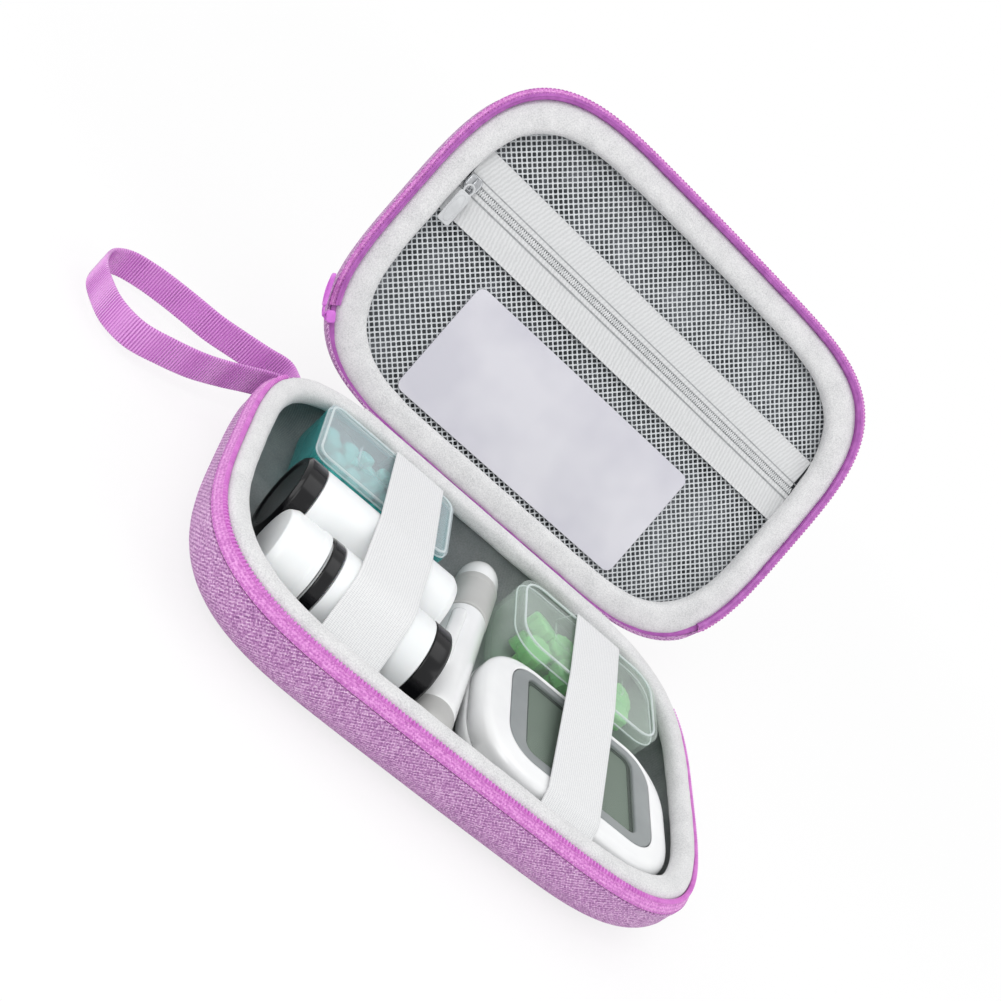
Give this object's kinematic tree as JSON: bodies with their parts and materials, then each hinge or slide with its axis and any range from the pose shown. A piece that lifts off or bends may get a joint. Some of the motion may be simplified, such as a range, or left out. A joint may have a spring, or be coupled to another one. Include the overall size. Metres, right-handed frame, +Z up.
{
  "type": "glucose meter case",
  "caption": "Soft shell zip case, open, with a blood glucose meter, lancing pen, strip vials and lancet boxes under elastic bands, a net pocket lid and a wrist strap.",
  "frame": {"origin": "middle of the flat underside of the base, on the surface that the case stands on", "axes": "+X along the hinge to the right, +Y from the front to the hinge, +Z up"},
  "size_m": [0.2656, 0.2156, 0.1517],
  "materials": {
    "cover_fabric": "heathered woven polyester, orchid",
    "zip_tape": "bright orchid zipper tape",
    "zip_coil": "orchid nylon coil",
    "eva_foam": "moulded EVA foam, matte",
    "lining": "grey knitted lining",
    "plush": "white brushed plush",
    "net": "light grey polyester net",
    "grey_tape": "light grey ribbed tape",
    "card": "pale lavender grey card",
    "zip_metal": "bright nickel plated zinc",
    "strap": "orchid grosgrain ribbon",
    "elastic": "white woven elastic",
    "white_abs": "white glossy ABS",
    "grey_abs": "mid grey satin ABS",
    "black_gloss": "black glossy polypropylene",
    "lens": "clear acrylic window",
    "lcd": "grey green LCD",
    "board": "green solder mask",
    "cell": "steel coin cell",
    "spring_steel": "spring steel",
    "teal_pp": "translucent teal polypropylene",
    "clear_pp": "clear polypropylene",
    "green_pe": "light green polyethylene"
  },
  "bodies": {
    "base": {"base_cover": "cover_fabric", "base_shell": "eva_foam", "base_lining": "lining", "base_rim_roll": "plush", "base_zipper_tape": "zip_tape", "base_zipper_coil": "zip_coil", "hinge_spine": "plush", "left_elastic_band": "elastic", "right_elastic_band": "elastic"},
    "strap": {"wrist_strap": "strap"},
    "lid": {"lid_cover": "cover_fabric", "lid_shell": "eva_foam", "lid_lining": "lining", "lid_rim_pad": "plush", "lid_zipper_tape": "zip_tape", "lid_zipper_coil": "zip_coil", "lid_net_front": "net", "lid_net_back": "net", "pocket_tape_front": "grey_tape", "pocket_tape_back": "grey_tape", "pocket_zipper_coil": "grey_tape", "info_card": "card", "main_slider": "zip_metal"},
    "main_tab": {"main_pull_tab": "zip_coil"},
    "pocket_slider": {"pocket_slider": "zip_metal"},
    "pocket_tab": {"pocket_pull_tab": "zip_metal"},
    "meter": {"meter_back_case": "white_abs", "meter_front_case": "white_abs", "meter_bezel": "grey_abs", "meter_lens": "lens", "meter_display": "lcd", "meter_circuit_board": "board", "meter_battery": "cell"},
    "battery_door": {"meter_battery_door": "white_abs"},
    "left_button": {"meter_left_button": "grey_abs"},
    "right_button": {"meter_right_button": "grey_abs"},
    "pen": {"pen_barrel": "white_abs", "pen_spring": "spring_steel"},
    "pen_sleeve": {"pen_cocking_sleeve": "grey_abs"},
    "pen_holder": {"pen_lancet_holder": "grey_abs"},
    "pen_dial": {"pen_depth_ring": "grey_abs", "pen_nose_cap": "white_abs"},
    "pen_button": {"pen_release_button": "white_abs"},
    "rear_vial": {"rear_vial_end_cup": "black_gloss", "rear_vial_body": "white_abs", "rear_vial_collar": "black_gloss"},
    "rear_cap": {"rear_vial_cap": "white_abs"},
    "front_vial": {"front_vial_end_cup": "black_gloss", "front_vial_body": "white_abs", "front_vial_collar": "black_gloss"},
    "front_cap": {"front_vial_cap": "white_abs"},
    "left_box": {"left_box_tray": "teal_pp", "left_box_lancets": "teal_pp"},
    "left_lid": {"left_box_lid": "teal_pp"},
    "right_box": {"right_box_tray": "clear_pp", "right_box_lancets": "green_pe"},
    "right_lid": {"right_box_lid": "clear_pp"}
  },
  "joints": [
    {"name": "lid_hinge", "type": "hinge", "parent": "base", "child": "lid", "pos_m": [0, 0.06824, 0.026], "axis": [-1, 0, 0], "range_deg": [-114.4, 65], "deforming": ["hinge_spine"]},
    {"name": "strap_swing", "type": "hinge", "parent": "base", "child": "strap", "pos_m": [-0.0883, 0.0589, 0.017], "axis": [0, 0, 1], "range_deg": [-18, 6]},
    {"name": "main_tab_swing", "type": "hinge", "parent": "lid", "child": "main_tab", "pos_m": [-0.09541, 0.0785, 0.03869], "axis": [0, -0.9107, 0.4131], "range_deg": [0, 75]},
    {"name": "pocket_zip", "type": "slide", "parent": "lid", "child": "pocket_slider", "axis": [1, 0, 0], "range_m": [0, 0.165]},
    {"name": "pocket_tab_swing", "type": "hinge", "parent": "pocket_slider", "child": "pocket_tab", "pos_m": [-0.0854, 0.10827, 0.09947], "axis": [-1, 0, 0], "range_deg": [0, 160]},
    {"name": "meter_lift", "type": "slide", "parent": "base", "child": "meter", "axis": [0, 0, 1], "range_m": [0, 0.06], "deforming": ["right_elastic_band"]},
    {"name": "battery_door_slide", "type": "slide", "parent": "meter", "child": "battery_door", "axis": [1, 0, 0], "range_m": [0, 0.004]},
    {"name": "left_button_press", "type": "slide", "parent": "meter", "child": "left_button", "axis": [0, 1, 0], "range_m": [0, 0.0008], "stiffness_N_per_m": 600},
    {"name": "right_button_press", "type": "slide", "parent": "meter", "child": "right_button", "axis": [0, 1, 0], "range_m": [0, 0.0008], "stiffness_N_per_m": 600},
    {"name": "pen_lift", "type": "slide", "parent": "base", "child": "pen", "axis": [0, 0, 1], "range_m": [0, 0.06]},
    {"name": "pen_cocking", "type": "slide", "parent": "pen", "child": "pen_sleeve", "axis": [-0.1501, -0.9887, 0], "range_m": [0, 0.005], "stiffness_N_per_m": 400, "deforming": ["pen_spring"]},
    {"name": "pen_holder_travel", "type": "slide", "parent": "pen", "child": "pen_holder", "axis": [-0.1501, -0.9887, 0], "range_m": [0, 0.005]},
    {"name": "pen_depth_dial", "type": "hinge", "parent": "pen", "child": "pen_dial", "pos_m": [-0.0092, -0.054, 0.0134], "axis": [0.1501, 0.9887, 0], "range_deg": [0, 270]},
    {"name": "pen_button_press", "type": "slide", "parent": "pen", "child": "pen_button", "axis": [0.6355, -0.0965, -0.766], "range_m": [0, 0.0012], "stiffness_N_per_m": 500},
    {"name": "rear_vial_lift", "type": "slide", "parent": "base", "child": "rear_vial", "axis": [0, 0, 1], "range_m": [0, 0.09], "deforming": ["left_elastic_band"]},
    {"name": "rear_cap_hinge", "type": "hinge", "parent": "rear_vial", "child": "rear_cap", "pos_m": [-0.03195, -0.0042, 0.0346], "axis": [0, -1, 0], "range_deg": [0, 100]},
    {"name": "front_vial_lift", "type": "slide", "parent": "base", "child": "front_vial", "axis": [0, 0, 1], "range_m": [0, 0.09]},
    {"name": "front_cap_hinge", "type": "hinge", "parent": "front_vial", "child": "front_cap", "pos_m": [-0.06475, -0.0348, 0.0346], "axis": [0, 1, 0], "range_deg": [0, 100]},
    {"name": "left_box_lift", "type": "slide", "parent": "base", "child": "left_box", "axis": [0, 0, 1], "range_m": [0, 0.06]},
    {"name": "left_box_lid_hinge", "type": "hinge", "parent": "left_box", "child": "left_lid", "pos_m": [-0.04775, 0.0553, 0.02575], "axis": [-1, 0, 0], "range_deg": [0, 60]},
    {"name": "right_box_lift", "type": "slide", "parent": "base", "child": "right_box", "axis": [0, 0, 1], "range_m": [0, 0.06]},
    {"name": "right_box_lid_hinge", "type": "hinge", "parent": "right_box", "child": "right_lid", "pos_m": [0.0499, 0.0513, 0.02415], "axis": [-1, 0, 0], "range_deg": [0, 60]}
  ],
  "couplings": [
    {"joint": "pen_holder_travel", "follows": "pen_cocking", "ratio": 1},
    {"joint": "rear_cap_hinge", "follows": "rear_vial_lift", "rad_per_m": 19.391},
    {"joint": "front_cap_hinge", "follows": "front_vial_lift", "rad_per_m": 19.391},
    {"joint": "left_box_lid_hinge", "follows": "left_box_lift", "rad_per_m": 17.451},
    {"joint": "right_box_lid_hinge", "follows": "right_box_lift", "rad_per_m": 17.451}
  ]
}
